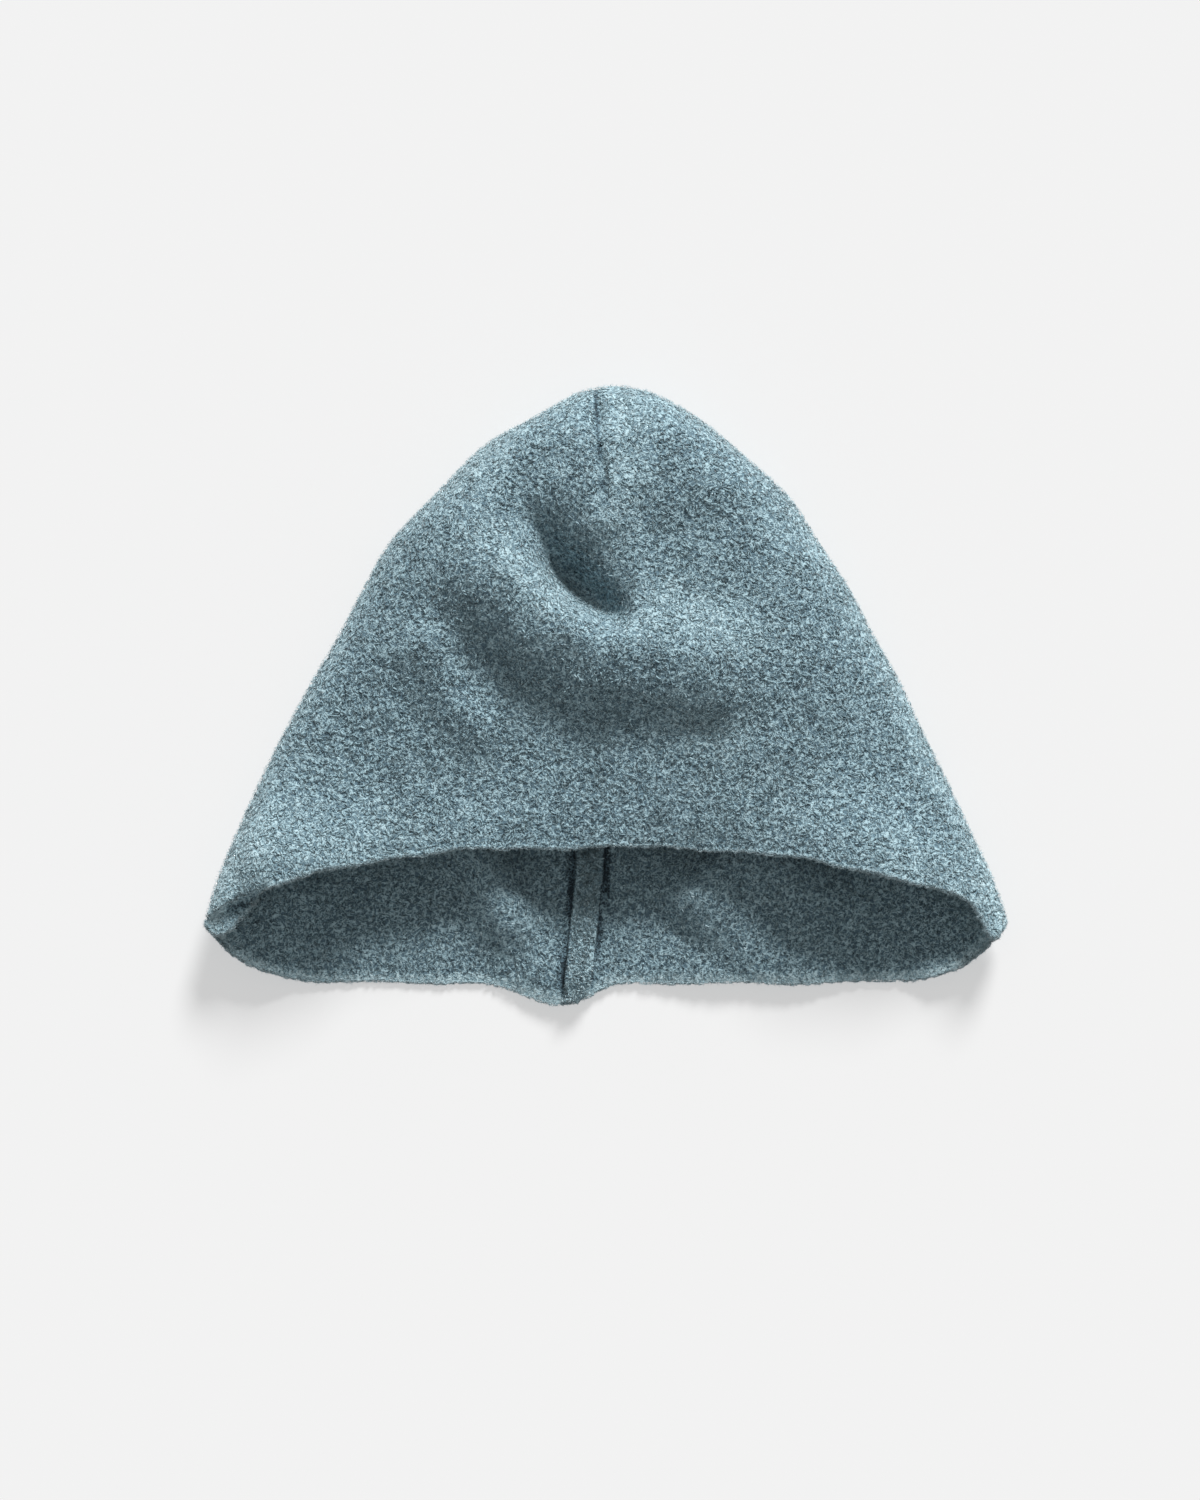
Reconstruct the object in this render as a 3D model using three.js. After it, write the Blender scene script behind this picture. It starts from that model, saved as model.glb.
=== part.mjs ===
import * as THREE from "three";

// Earflap beanie of boiled wool, lying on its back on a flat surface.
// Millimetres. +Y runs from the rim to the crown, +X to the right seen from above, +Z up.

// Driving dimensions
const clothThickness = 3.2; // felted knit, one layer
const rollReach = 11; // how far in from the side fold the cloth takes to turn over
const rollRise = 7; // how much the front rises as it turns over from the side fold
const rimArch = 28.6; // how far the front rim's middle lies above the ear tips, along Y
const rimDrop = 23; // how far the back edge's middle lies below the ear tips, along Y
const rimCorner = 13.5; // how quickly the back edge turns away from the ear tips
const archPower = { left: 3, right: 2.45 }; // how flat the two halves of the front rim are
const domePower = 4; // how flat the front is from side to side
const nose = { length: 2.8, width: 7 }; // how far the blunt corners reach past the ear tips
const closed = { left: 1.5, right: 9 }; // how far in the side folds stay shut at the ear tips
const tuck = { x: -146, length: 10, width: 13, corner: 3 }; // the front's edge at the left ear tip
const seamNubX = -17; // where the back seam meets the edge
const seamNubLength = 8; // how far the seam pulls the edge down there
const seamNubWidth = 19;
const seamNubLift = 3; // the edge stands off the surface at the seam
const seamNubReach = 16; // how far up the panel that lift runs
const restTolerance = 0.3; // cloth that would lift less than this lies flat on the surface
const tipPower = 20; // how close to the rim the shape of the ear tips' corners keeps
const nubPower = 16; // how close to the rim the seam's pull keeps
const endShare = 0.15; // what is left of a fold's height at its ends

// The seam allowance, a band inside the back panel
const allowanceWidth = 10;
const allowanceThickness = 2.6;
const allowanceGap = 0.4; // clear of the wall that it lies on
const allowanceRounding = 0.35; // share of its thickness that it loses at its sides
const allowanceEnds = { hem: 0.998, crown: 0.22 }; // as fractions of the way from crown to rim
const allowanceLine = { hemX: -12.2, mouthX: -6.8, crownX: 3, mouthAt: 0.86 };

// How finely the wall is divided
const columnsAround = 76;
const foldSpacing = 0.2; // sets the columns closer together in the middle of the panels
const rowsAlong = 28;
const edgeSteps = 4;
const allowanceRows = 36;
const allowanceColumns = 5;
const foldPieces = 24; // straight pieces of a fold's line

// Stations down the side folds, from the crown's end to the ear tips.
// y, left and right are where the folds lie, and fold is the height of their outermost line.
// crown is the height of the front's middle, and under is the height of the back's underside.
const stations = [
  { y: 116.3, left: 3, right: 3, fold: 12, crown: 12, under: 12 },
  { y: 113.8, left: -9.5, right: 15.5, fold: 12, crown: 19, under: 6 },
  { y: 109, left: -19, right: 26, fold: 11, crown: 24, under: 2.5 },
  { y: 102, left: -31.5, right: 37, fold: 10, crown: 28, under: 0.5 },
  { y: 93, left: -47, right: 48, fold: 9, crown: 31.5, under: 0 },
  { y: 75, left: -65, right: 68, fold: 8.5, crown: 35, under: 0 },
  { y: 57, left: -82, right: 80, fold: 8, crown: 35, under: 0 },
  { y: 39.5, left: -92, right: 91.5, fold: 8, crown: 34.5, under: 0 },
  { y: 21.5, left: -101.5, right: 101, fold: 8, crown: 33, under: 0 },
  { y: 3.5, left: -112, right: 111, fold: 8, crown: 31.5, under: 0 },
  { y: -14, left: -121.5, right: 119, fold: 8, crown: 29.5, under: 0 },
  { y: -32, left: -130.5, right: 128, fold: 8, crown: 27.5, under: 0 },
  { y: -50, left: -138.5, right: 136.5, fold: 8, crown: 26, under: 0 },
  { y: -68, left: -146, right: 145, fold: 8, crown: 25.5, under: 0 },
  { y: -84, left: -150.3, right: 150.6, fold: 8.5, crown: 25, under: 0 },
];

// Folds of the front panel. Each runs from one point past a bend to another, rises by height
// (or sinks, where height is negative), and fades over its width on each side of the line.
// left and right are those widths seen along the line, and taper is the share that fades at the ends.
// lee shapes the right side: at 2 it is an even slope, above 2 a step, and below 2 steepest
// beside the line.
const frontFolds = [
  { name: "dent", from: [3, 30], bend: [-15, 42], to: [-36, 80],
    height: -7, left: 6, right: 7.5, taper: 0.7, lee: 1.5 },
  { name: "deep end of the dent", from: [10, 27], bend: [-9, 29], to: [-24, 54],
    height: -7.5, left: 6, right: 14, taper: 0.6, lee: 1.3 },
  { name: "bottom of the dent", from: [-32, 70], bend: [-14, 38], to: [10, 27],
    height: -6, left: 5, right: 5, taper: 0.5, lee: 2 },
  { name: "ridge, left arm", from: [-64, 68], bend: [-30, 29], to: [-2, 15],
    height: 8, left: 14, right: 20, taper: 0.7, lee: 2.6 },
  { name: "ridge, right arm", from: [-22, 20], bend: [20, 11], to: [68, 7],
    height: 8, left: 17, right: 20, taper: 0.7, lee: 3.5 },
  { name: "hump along the dart", from: [-7, 106], bend: [-8, 78], to: [-2, 58],
    height: 3, left: 15, right: 7, taper: 0.5, lee: 2 },
  { name: "hollow beside the hump", from: [20, 96], bend: [10, 42], to: [56, 34],
    height: -4.2, left: 28, right: 14, taper: 0.9, lee: 2 },
  { name: "hollow under the ridge", from: [-56, 30], bend: [-42, -16], to: [12, -26],
    height: -4, left: 12, right: 45, taper: 0.5, lee: 2 },
  { name: "swell under the hollow", from: [-72, 30], bend: [-66, 0], to: [-38, -24],
    height: 3.6, left: 9, right: 10, taper: 0.5, lee: 2 },
  { name: "left rim flare", from: [-142, -70], bend: [-118, -63], to: [-76, -66],
    height: 9.5, left: 23, right: 20, taper: 0.7, lee: 2 },
  { name: "right rim flare", from: [54, -60], bend: [94, -62], to: [138, -74],
    height: 7.5, left: 23, right: 20, taper: 0.7, lee: 2 },
  { name: "dip of the rim", from: [-4, -66], bend: [28, -64], to: [56, -66],
    height: -3, left: 12, right: 16, taper: 0.8, lee: 2 },
  { name: "swell below the ridge", from: [34, -20], bend: [56, -24], to: [84, -20],
    height: 1.8, left: 10, right: 26, taper: 0.6, lee: 2 },
  { name: "front dart", from: [-4, 118], bend: [-3, 95], to: [-1, 68],
    height: -2.2, left: 3.5, right: 3.5, taper: 0.3, lee: 2 },
  { name: "tuck of the left tip", from: [-160, -90], bend: [-137, -76.5], to: [-117, -72],
    height: -4, left: 5, right: 15, taper: 0.5, lee: 4 },
];

// Folds of the back panel, which lift it off the surface where they are positive.
const backFolds = [
  { name: "swell left of the seam", from: [-66, -32], bend: [-48, -64], to: [-26, -100],
    height: 10, left: 10, right: 11, taper: 0.6, lee: 2 },
  { name: "swell right of the seam", from: [66, -40], bend: [40, -64], to: [22, -88],
    height: 11, left: 32, right: 10, taper: 0.6, lee: 2 },
  { name: "lift of the hem, right", from: [16, -104], bend: [58, -108], to: [104, -106],
    height: 3.5, left: 14, right: 12, taper: 0.7, lee: 2 },
  { name: "curl of the left tip", from: [-154, -90], bend: [-142, -103], to: [-116, -113],
    height: 5, left: 9, right: 9, taper: 0.6, lee: 2 },
  { name: "curl of the right tip", from: [154, -90], bend: [140, -104], to: [112, -113],
    height: 6, left: 9, right: 9, taper: 0.6, lee: 2 },
];

// Where the ear tips stand off the surface.
const tipLifts = [
  { x: -150, y: -84, lift: 9, reach: 34 },
  { x: 150, y: -84, lift: 4, reach: 28 },
];

const lastStation = stations.length - 1;

// One column of the stations table at a fraction of the way from crown to rim.
function stationValue(column, along) {
  const place = Math.min(Math.max(along, 0), 1) * lastStation;
  const index = Math.min(Math.floor(place), lastStation - 1);
  const t = place - index;
  const at = (i) => stations[Math.min(Math.max(i, 0), lastStation)][column];
  const [before, start, end, after] = [at(index - 1), at(index), at(index + 1), at(index + 2)];
  const slope = end - before;
  const bend = 2 * before - 5 * start + 4 * end - after;
  const twist = 3 * (start - end) + after - before;
  return start + 0.5 * t * (slope + t * (bend + t * twist));
}

// A point of a fold's line, at a share of the way along it.
function foldLine(fold, t) {
  const s = 1 - t;
  const at = (k) => s * s * fold.from[k] + 2 * s * t * fold.bend[k] + t * t * fold.to[k];
  return [at(0), at(1)];
}

// The nearest place on a fold's line: how far along it, how far away, and how much to its left.
function nearestOnFold(fold, x, y) {
  let best = { distance: Infinity, t: 0, leftness: 0.5 };
  for (let piece = 0; piece < foldPieces; piece += 1) {
    const [ax, ay] = foldLine(fold, piece / foldPieces);
    const [bx, by] = foldLine(fold, (piece + 1) / foldPieces);
    const [dx, dy] = [bx - ax, by - ay];
    const length = Math.hypot(dx, dy);
    const nearest = ((x - ax) * dx + (y - ay) * dy) / (length * length);
    const share = Math.min(Math.max(nearest, 0), 1);
    const [gapX, gapY] = [x - ax - share * dx, y - ay - share * dy];
    const distance = Math.hypot(gapX, gapY);
    if (distance < best.distance) {
      const turn = (dx * gapY - dy * gapX) / (length * Math.max(distance, 1e-6));
      best = { distance, t: (piece + share) / foldPieces, leftness: 0.5 + 0.5 * turn };
    }
  }
  return best;
}

// The height that a table of folds adds at one place.
function foldRelief(folds, x, y) {
  let relief = 0;
  for (const fold of folds) {
    const { distance, t, leftness } = nearestOnFold(fold, x, y);
    const width = fold.right + (fold.left - fold.right) * leftness;
    const power = fold.lee + (2 - fold.lee) * leftness;
    const end = Math.min(t, 1 - t) / (0.5 * fold.taper);
    const fade = 0.5 - 0.5 * Math.cos(Math.PI * Math.min(end, 1));
    const height = fold.height * (endShare + (1 - endShare) * fade);
    relief += height * Math.exp(-((distance / width) ** power));
  }
  return relief;
}

// How much the ear tips lift the cloth at one place.
function tipLift(x, y) {
  let lift = 0;
  for (const tip of tipLifts) {
    const distance = Math.hypot(x - tip.x, y - tip.y);
    lift += tip.lift * Math.exp(-((distance / tip.reach) ** 2));
  }
  return Math.max(lift - restTolerance, 0);
}

// A point of the outer surface. angle goes once around, from the right fold over the front's
// middle to the left fold and back under. along goes from the crown's end to the rim.
function outerPoint(angle, along) {
  const left = stationValue("left", along);
  const right = stationValue("right", along);
  const half = Math.max(0.5 * (right - left), 0);
  const across = Math.cos(angle);
  const x = 0.5 * (left + right) + half * across;
  const inset = half * (1 - Math.abs(across));
  const reach = Math.min(rollReach, Math.max(half, 0.001));
  const roll = Math.sqrt(1 - (1 - Math.min(inset / reach, 1)) ** 2);
  const fold = stationValue("fold", along);
  const settle = along * along;
  const atTips = along ** tipPower;
  const side = stationValue("y", along) - nose.length * atTips * Math.exp(-inset / nose.width);
  const nub = Math.exp(-(((x - seamNubX) / seamNubWidth) ** 2));
  const flat = side - rimDrop * settle * (1 - Math.exp(-inset / rimCorner));
  const backY = flat - seamNubLength * nub * along ** nubPower;
  if (Math.sin(angle) >= 0) {
    const [power, shut] = across < 0
      ? [archPower.left, closed.left]
      : [archPower.right, closed.right];
    const arched = side + rimArch * settle * (1 - Math.abs(across) ** power);
    const atTuck = Math.exp(-(((x - tuck.x) / tuck.width) ** 2)) * (1 - Math.exp(-inset / tuck.corner));
    const open = arched - tuck.length * atTuck * atTips;
    const y = open + (backY - open) * Math.exp(-((inset / shut) ** 3)) * atTips;
    const crown = stationValue("crown", along);
    const shoulder = Math.min(fold + rollRise, crown);
    const dome = (crown - shoulder) * (1 - Math.abs(across) ** domePower);
    const relief = foldRelief(frontFolds, x, y) * roll;
    return new THREE.Vector3(x, y, fold + (shoulder - fold) * roll + dome + relief + tipLift(x, y));
  }
  const under = Math.max(stationValue("under", along), 0);
  const rimDistance = (1 - along) * (stations[0].y - stations[lastStation].y);
  const nubLift = seamNubLift * nub * Math.exp(-((rimDistance / seamNubReach) ** 2));
  const relief = Math.max(foldRelief(backFolds, x, backY) * roll + nubLift - restTolerance, 0);
  const z = fold - (fold - under) * roll + relief + tipLift(x, backY);
  return new THREE.Vector3(x, backY, z);
}

// The outward normal there, and the way towards the rim, from small steps on the surface.
function outerFrame(angle, along) {
  const step = 0.002;
  const low = Math.max(along - step, 0.003);
  const high = Math.min(along + step, 1);
  const around = outerPoint(angle + step, along).sub(outerPoint(angle - step, along));
  const down = outerPoint(angle, high).sub(outerPoint(angle, low));
  const normal = around.clone().cross(down).normalize();
  const outward = normal.clone().cross(around).normalize();
  return { normal, outward: outward.multiplyScalar(Math.sign(outward.dot(down))) };
}

// A point inside the wall, at a depth below the outer surface, and past it towards the rim.
function wallPoint(angle, along, depth, reach = 0) {
  const { normal, outward } = outerFrame(angle, along);
  return outerPoint(angle, along).addScaledVector(normal, -depth).addScaledVector(outward, reach);
}

// Turns a list of rings, each of the same number of points, into a closed mesh.
// A first and a last point close the two ends.
function closedMesh(first, rings, last) {
  const count = rings[0].length;
  const positions = [first, ...rings.flat(), last].flatMap((point) => point.toArray());
  const lastIndex = 1 + rings.length * count;
  const index = [];
  for (let i = 0; i < count; i += 1) {
    const next = (i + 1) % count;
    index.push(0, 1 + next, 1 + i);
    for (let ring = 0; ring < rings.length - 1; ring += 1) {
      const upper = 1 + ring * count;
      const lower = upper + count;
      index.push(upper + i, lower + next, lower + i);
      index.push(upper + i, upper + next, lower + next);
    }
    const end = 1 + (rings.length - 1) * count;
    index.push(end + i, end + next, lastIndex);
  }
  const geometry = new THREE.BufferGeometry();
  geometry.setAttribute("position", new THREE.Float32BufferAttribute(positions, 3));
  geometry.setIndex(index);
  geometry.computeVertexNormals();
  return geometry;
}

// The cloth wall: the outer surface down to the rim, round its cut edge, and back up inside.
function woolShell() {
  const angles = Array.from({ length: columnsAround }, (_, i) => {
    const turn = (2 * Math.PI * i) / columnsAround;
    return turn + foldSpacing * Math.sin(2 * turn);
  });
  const alongs = Array.from({ length: rowsAlong }, (_, i) => (i + 1) / rowsAlong);
  const outer = alongs.map((along) => angles.map((angle) => outerPoint(angle, along)));
  const inner = alongs.map((along) => angles.map((angle) => wallPoint(angle, along, clothThickness)));
  const edge = [];
  for (let step = 1; step < edgeSteps; step += 1) {
    const turn = (Math.PI * step) / edgeSteps;
    const depth = 0.5 * clothThickness * (1 - Math.cos(turn));
    const reach = 0.5 * clothThickness * Math.sin(turn);
    edge.push(angles.map((angle) => wallPoint(angle, 1, depth, reach)));
  }
  const crownEnd = outerPoint(0, 0);
  const crownInside = crownEnd.clone().setY(crownEnd.y - clothThickness);
  return closedMesh(crownEnd, [...outer, ...edge, ...inner.reverse()], crownInside);
}

// Where the seam allowance's middle lies across the back panel.
function allowanceX(along) {
  const { hemX, mouthX, crownX, mouthAt } = allowanceLine;
  if (along > mouthAt) {
    return mouthX + ((hemX - mouthX) * (along - mouthAt)) / (1 - mouthAt);
  }
  return crownX + ((mouthX - crownX) * along) / mouthAt;
}

// The band: flat beneath, gently rounded above, lying on the inside of the back panel.
function seamAllowance() {
  const rings = [];
  for (let row = 0; row <= allowanceRows; row += 1) {
    const share = row / allowanceRows;
    const along = allowanceEnds.crown + (allowanceEnds.hem - allowanceEnds.crown) * share;
    const left = stationValue("left", along);
    const right = stationValue("right", along);
    const ring = [];
    const place = (offset, depth) => {
      const x = allowanceX(along) + offset;
      const across = (x - 0.5 * (left + right)) / (0.5 * (right - left));
      ring.push(wallPoint(2 * Math.PI - Math.acos(across), along, depth));
    };
    const base = clothThickness + allowanceGap;
    for (let column = 0; column <= allowanceColumns; column += 1) {
      place(allowanceWidth * (column / allowanceColumns - 0.5), base);
    }
    for (let column = allowanceColumns; column >= 0; column -= 1) {
      const offset = column / allowanceColumns - 0.5;
      const round = 1 - allowanceRounding * (2 * offset) ** 4;
      place(allowanceWidth * offset, base + allowanceThickness * round);
    }
    rings.push(ring);
  }
  const middle = (ring) => ring.reduce((sum, point) => sum.add(point), new THREE.Vector3())
    .divideScalar(ring.length);
  return closedMesh(middle(rings[0]), rings, middle(rings[allowanceRows]));
}

const wool = new THREE.MeshStandardMaterial({ color: "#768d96", roughness: 0.98, metalness: 0 });
const seamWool = new THREE.MeshStandardMaterial({ color: "#6a8088", roughness: 0.98, metalness: 0 });

function namedMesh(name, geometry, material) {
  const mesh = new THREE.Mesh(geometry, material);
  mesh.name = name;
  return mesh;
}

const group = new THREE.Group();
group.add(namedMesh("wool_shell", woolShell(), wool));
group.add(namedMesh("back_seam_allowance", seamAllowance(), seamWool));

export default group;
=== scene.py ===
import math

import bmesh
import bpy
import numpy as np
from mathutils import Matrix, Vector, noise


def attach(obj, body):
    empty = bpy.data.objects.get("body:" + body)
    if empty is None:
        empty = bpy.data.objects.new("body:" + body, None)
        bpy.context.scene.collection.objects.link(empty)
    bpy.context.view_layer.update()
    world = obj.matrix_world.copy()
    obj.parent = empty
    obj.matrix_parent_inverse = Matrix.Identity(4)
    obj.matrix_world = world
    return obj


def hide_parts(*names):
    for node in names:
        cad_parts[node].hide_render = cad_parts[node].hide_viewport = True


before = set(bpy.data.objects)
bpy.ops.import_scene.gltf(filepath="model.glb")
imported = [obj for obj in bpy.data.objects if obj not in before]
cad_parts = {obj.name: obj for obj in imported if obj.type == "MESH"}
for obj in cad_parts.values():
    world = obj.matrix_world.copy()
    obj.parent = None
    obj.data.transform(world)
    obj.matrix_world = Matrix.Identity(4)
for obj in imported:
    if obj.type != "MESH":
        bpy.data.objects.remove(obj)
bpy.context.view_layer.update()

mm = 0.001
fullTurn = 2 * math.pi
tiny = 1e-6  # keeps a division off zero


def addObject(name, data):
    thing = bpy.data.objects.new(name, data)
    bpy.context.collection.objects.link(thing)
    return thing


# the picture: straight down on the cap as it lies on its back
picture = {
    "lens": 150,
    "sensorWidth": 36,
    "sensorHeight": 45,
    "frameHeight": 560.4,  # mm of floor from the top to the bottom of the picture
    "centre": (-2.6, -21.0),
    "middleHeight": 20,
}
camera = bpy.data.cameras.new("camera")
camera.lens = picture["lens"]
camera.sensor_fit = "VERTICAL"
camera.sensor_width = picture["sensorWidth"]
camera.sensor_height = picture["sensorHeight"]
cameraObject = addObject("camera", camera)
distance = picture["frameHeight"] * picture["lens"] / picture["sensorHeight"]
cameraPlace = (*picture["centre"], picture["middleHeight"] + distance)
cameraObject.location = [value * mm for value in cameraPlace]
bpy.context.scene.camera = cameraObject
bpy.context.scene.view_settings.view_transform = "Standard"

# the cap's shape, in millimetres, +Y from the rim to the crown
capShape = {
    "clothThickness": 3.2,
    "edgeTaper": 1.1,  # the back thins towards its cut edge
    "taperReach": 6,
    "rollReach": 11,  # how far in from the side fold the cloth takes to turn over
    "rollRise": 7,
    "domePower": 4,  # how flat the top is from side to side
    "rimArch": 25.6,  # the front's cut curves up in its middle
    "archLeft": 3,
    "archRight": 2.45,
    "rimDrop": 26,  # the back's cut hangs lower than the side folds
    "rimCorner": 11.8,
    "rimOnset": 10,  # powers: a higher one sets in nearer to the rim
    "waveOnset": 12,
    "rimWave": 0.45,  # the cut is not quite even
    "frontWaves": [(9.5, 0.6, 1), (4.1, 2, 0.7)],  # length, start and share
    "backWaves": [(7.3, 1, 1)],
    "noseLength": 2.8,  # the corners of the cut are blunt
    "noseWidth": 7,
    "closedLeft": 1.5,  # how far in the side fold stays shut at the ear tips
    "closedRight": 9,
    "closedPower": 3,
    "seamNubX": -17,  # the rounded point of the hem under the back seam
    "seamNubLength": 8,
    "seamNubLeft": 19,
    "seamNubRight": 15,
    "seamNubOnset": 8,
    "seamNubLift": 3,
    "seamNubReach": 16,
    "tuckX": -146,  # the left ear tip is tucked: its edge hangs lower there
    "tuckLength": 10,
    "tuckWidth": 13,
    "tuckCorner": 3,
    "restTolerance": 0.3,
    "foldSteps": 24,
    "foldEnds": 0.15,  # share of its height that a fold keeps at its ends
    # y, left and right of the side folds, height of the folds, of the crown and of the underside
    "stations": [
        (116.3, 3, 3, 12, 12, 12),
        (113.8, -9.5, 15.5, 12, 19, 6),
        (109, -19, 26, 11, 24, 2.5),
        (102, -31.5, 37, 10, 28, 0.5),
        (93, -47, 48, 9, 31.5, 0),
        (75, -65, 68, 8.5, 35, 0),
        (57, -82, 80, 8, 35, 0),
        (39.5, -92, 91.5, 8, 34.5, 0),
        (21.5, -101.5, 101, 8, 33, 0),
        (3.5, -112, 111, 8, 31.5, 0),
        (-14, -121.5, 119, 8, 29.5, 0),
        (-32, -130.5, 128, 8, 27.5, 0),
        (-50, -138.5, 136.5, 8, 26, 0),
        (-68, -146, 145, 8, 25.5, 0),
        (-82, -150.5, 150.4, 8.5, 25, 0),
    ],
    # from, bend and to of each fold's line, its height, widths left and right, fade and squareness
    "frontFolds": [
        ((3, 30), (-15, 42), (-35, 78), -7, 6, 7.2, 0.7, 1.5),  # dent
        ((10, 27), (-9, 29), (-24, 54), -7.5, 6, 12.5, 0.6, 1.3),  # deep end of the dent
        ((-27, 60), (-14, 38), (10, 27), -6, 5, 5, 0.6, 2),  # bottom of the dent
        ((-64, 68), (-30, 29), (-2, 15), 8, 14, 20, 0.7, 2.6),  # ridge, left arm
        ((-22, 20), (20, 11), (68, 7), 8, 17, 20, 0.7, 3.5),  # ridge, right arm
        ((-7, 106), (-8, 78), (-2, 52), 2.6, 15, 10, 0.5, 2),  # hump along the dart
        ((20, 96), (10, 42), (56, 34), -3.6, 28, 14, 0.9, 2),  # hollow beside the hump
        ((-56, 30), (-42, -16), (12, -26), -3.7, 12, 45, 0.5, 2),  # hollow under the ridge
        ((-72, 30), (-66, 0), (-38, -24), 3.6, 9, 10, 0.5, 2),  # swell under the hollow
        ((-142, -70), (-118, -63), (-76, -66), 9.5, 23, 20, 0.7, 2),  # left rim flare
        ((54, -60), (94, -62), (138, -74), 7.5, 23, 20, 0.7, 2),  # right rim flare
        ((-4, -66), (28, -64), (56, -66), -3, 12, 16, 0.8, 2),  # dip of the rim
        ((34, -20), (56, -24), (84, -20), 1.8, 10, 26, 0.6, 2),  # swell below the ridge
        ((-4, 118), (-3, 95), (-1, 68), -2.2, 1.8, 2.2, 0.3, 2),  # front dart
        ((-160, -90), (-137, -76.5), (-117, -72), -5, 1.5, 15, 0.5, 6),  # tuck of the left tip
    ],
    "backFolds": [
        ((-66, -32), (-48, -64), (-26, -100), 10, 10, 11, 0.6, 2),  # swell left of the seam
        ((66, -40), (40, -64), (22, -88), 11, 32, 10, 0.6, 2),  # swell right of the seam
        ((16, -104), (58, -108), (104, -106), 3.5, 14, 12, 0.7, 2),  # lift of the hem, right
        ((-154, -90), (-142, -103), (-116, -113), 5, 9, 9, 0.6, 2),  # curl of the left tip
        ((154, -90), (140, -104), (112, -113), 6, 9, 9, 0.6, 2),  # curl of the right tip
    ],
    "tipLifts": [(-150, -84, 9, 34), (150, -84, 4, 28)],  # x, y, lift and reach
}
stations = np.array(capShape["stations"], dtype=float)
stationColumn = {"y": 0, "left": 1, "right": 2, "fold": 3, "crown": 4, "under": 5}
lastStation = len(stations) - 1


def stationValue(name, along):
    # one column of the stations, smooth between its rows, at 0 for the crown and 1 for the rim
    column = stations[:, stationColumn[name]]
    place = np.clip(along, 0, 1) * lastStation
    index = np.minimum(place.astype(int), lastStation - 1)
    t = place - index
    before, start, end, after = (
        column[np.clip(index + step, 0, lastStation)] for step in (-1, 0, 1, 2)
    )
    slope = end - before
    bend = 2 * before - 5 * start + 4 * end - after
    twist = 3 * (start - end) + after - before
    return start + 0.5 * t * (slope + t * (bend + t * twist))


def clothWidth(along):
    # the middle between the side folds, and half the width
    left, right = stationValue("left", along), stationValue("right", along)
    return 0.5 * (left + right), np.maximum(0.5 * (right - left), 0)


def sideInset(angle, along):
    # how far in from the side fold
    return clothWidth(along)[1] * (1 - np.abs(np.cos(angle)))


def rimDistance(along):
    return (1 - along) * (stations[0, 0] - stations[-1, 0])


def bell(distance, reach):
    # 1 in the middle, and next to nothing at twice the reach
    return np.exp(-((distance / reach) ** 2))


def eased(share):
    # from 0 to 1 with a soft start and end
    return 0.5 - 0.5 * np.cos(math.pi * share)


def nearestOnLine(x, y, start, end):
    # the nearest place on a straight line: its share of the way, and the gap to it in x and y
    (ax, ay), (bx, by) = start, end
    dx, dy = bx - ax, by - ay
    share = np.clip(((x - ax) * dx + (y - ay) * dy) / (dx * dx + dy * dy), 0, 1)
    return share, x - ax - share * dx, y - ay - share * dy


def foldRelief(folds, x, y):
    # the height that a list of folds adds at each place
    steps, ends = capShape["foldSteps"], capShape["foldEnds"]
    t = np.linspace(0, 1, steps + 1)[:, None]
    relief = np.zeros_like(x)
    for start, bend, end, height, left, right, taper, square in folds:
        line = (1 - t) ** 2 * np.array(start) + 2 * t * (1 - t) * np.array(bend)
        line = line + t**2 * np.array(end)
        best, where, side = np.full(x.shape, np.inf), np.zeros_like(x), np.zeros_like(x)
        for step in range(steps):
            share, gapX, gapY = nearestOnLine(x, y, line[step], line[step + 1])
            dx, dy = line[step + 1] - line[step]
            gap = np.hypot(gapX, gapY)
            turn = (dx * gapY - dy * gapX) / (math.hypot(dx, dy) * np.maximum(gap, tiny))
            nearer = gap < best
            best = np.where(nearer, gap, best)
            where = np.where(nearer, (step + share) / steps, where)
            side = np.where(nearer, turn, side)
        leftness = 0.5 + 0.5 * side
        width = right + (left - right) * leftness
        power = square + (2 - square) * leftness
        fade = eased(np.minimum(np.minimum(where, 1 - where) / (0.5 * taper), 1))
        relief += height * (ends + (1 - ends) * fade) * np.exp(-((best / width) ** power))
    return relief


def tipLift(x, y):
    lift = np.zeros_like(x)
    for tipX, tipY, height, reach in capShape["tipLifts"]:
        lift += height * bell(np.hypot(x - tipX, y - tipY), reach)
    return np.maximum(lift - capShape["restTolerance"], 0)


def cutWave(x, waves):
    wave = sum(share * np.sin(x / length + start) for length, start, share in waves)
    return capShape["rimWave"] * wave


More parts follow.
